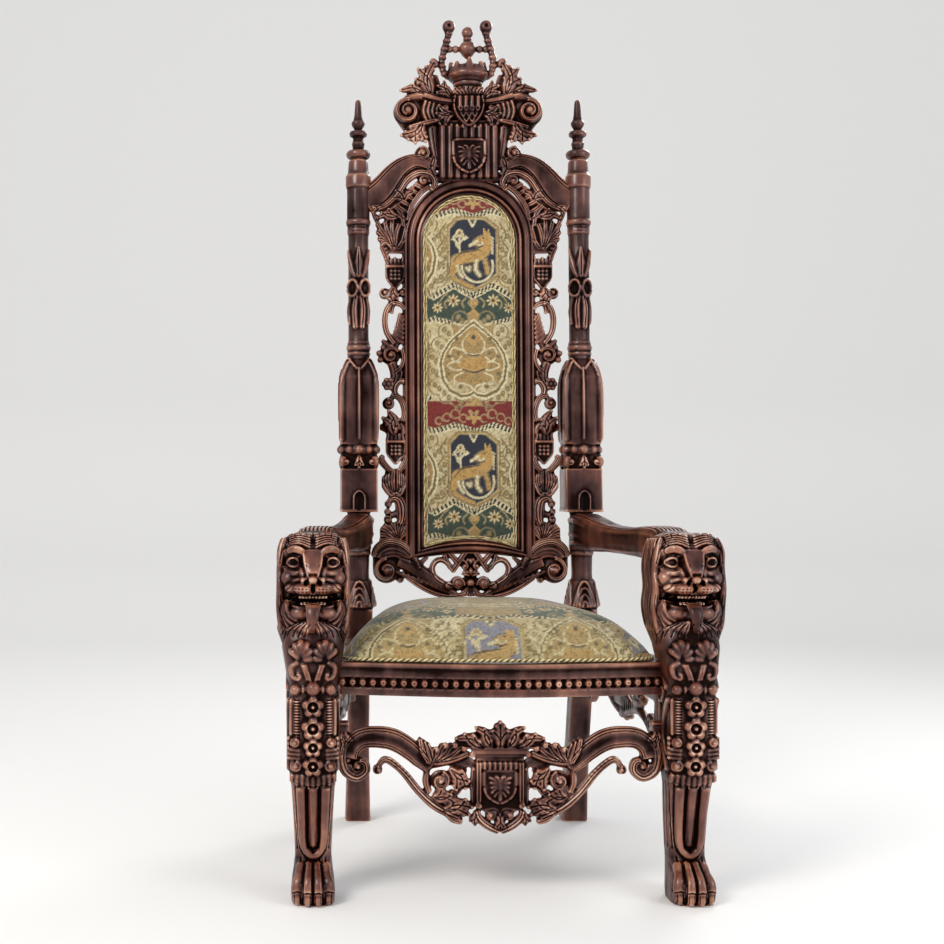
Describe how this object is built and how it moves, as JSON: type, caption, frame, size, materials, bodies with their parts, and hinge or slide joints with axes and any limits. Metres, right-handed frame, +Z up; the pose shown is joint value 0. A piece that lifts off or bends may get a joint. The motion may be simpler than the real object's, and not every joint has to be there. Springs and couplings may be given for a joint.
{
  "type": "carved throne",
  "caption": "High-backed carved wooden throne with lion-headed front legs, padded seat, arched upholstered back and pierced crowned crest.",
  "frame": {"origin": "on the floor, midway between the front and back of the chair and on its middle plane", "axes": "+Z up, -Y the way the sitter faces, +X to the right of someone who looks at the chair from the front"},
  "size_m": [0.8672, 0.714, 1.8814],
  "materials": {
    "mahogany": "dark red-brown stained mahogany, satin polish, near black in the recesses and rubbed paler on the high carving",
    "tapestry": "woven tapestry in cream, gold, tan, green, red and navy, with shields, bands and lace medallions",
    "liner": "plain dark cotton stretched over the back of the panel"
  },
  "bodies": {
    "root": {"lion_leg_left": "mahogany", "lion_leg_right": "mahogany", "arm_left": "mahogany", "arm_right": "mahogany", "back_post_left": "mahogany", "back_post_right": "mahogany", "finial_left": "mahogany", "finial_right": "mahogany", "side_seat_rail_left": "mahogany", "side_seat_rail_right": "mahogany", "side_scroll_left": "mahogany", "side_scroll_right": "mahogany", "side_apron_left": "mahogany", "side_apron_right": "mahogany", "front_seat_rail": "mahogany", "rear_seat_rail": "mahogany", "back_frame": "mahogany", "lower_back_rail": "mahogany", "crest": "mahogany", "front_apron": "mahogany", "seat_cushion": "tapestry", "back_panel": "tapestry", "back_cover": "liner"}
  },
  "joints": []
}
